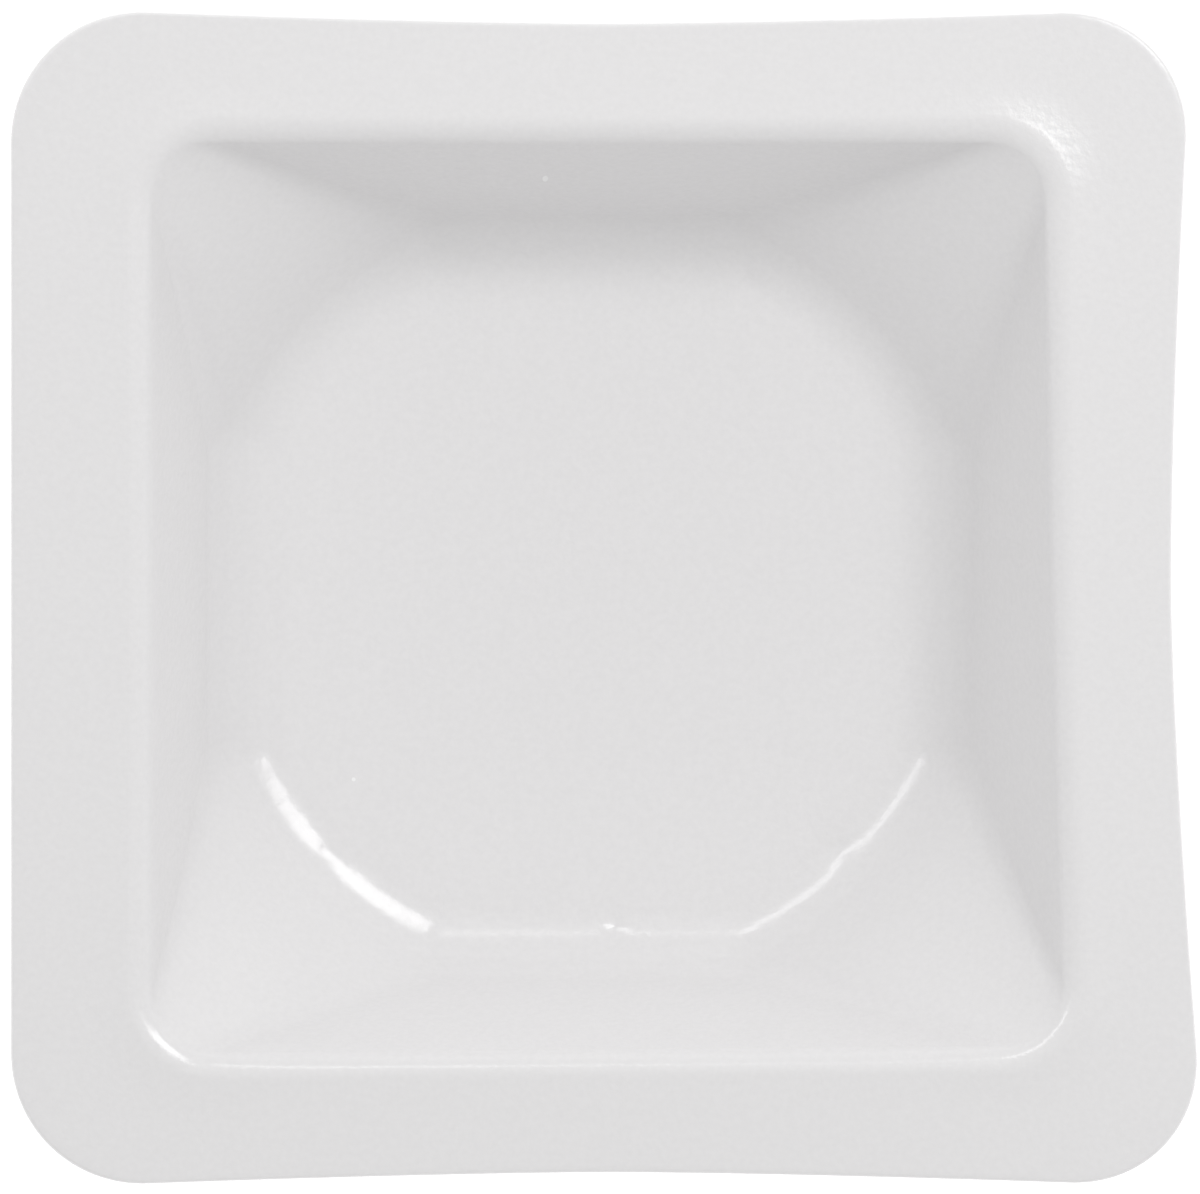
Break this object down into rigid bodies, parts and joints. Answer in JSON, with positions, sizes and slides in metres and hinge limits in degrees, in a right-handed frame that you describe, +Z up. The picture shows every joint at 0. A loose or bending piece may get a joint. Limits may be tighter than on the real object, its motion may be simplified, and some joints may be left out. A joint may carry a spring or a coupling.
{
  "type": "weighing boat",
  "caption": "Shallow square dish of thin white plastic with a wide flat rim, sloping walls and a flat rounded floor, for weighing out powders",
  "frame": {"origin": "centre of the flat floor's underside, where the boat rests", "axes": "+Z up out of the mouth, +X to the right across the slightly longer extent, +Y to the back"},
  "size_m": [0.0416, 0.041, 0.008],
  "materials": {
    "white_sheet": "satin, slightly mottled white sheet"
  },
  "bodies": {
    "root": {"boat": "white_sheet"}
  },
  "joints": []
}
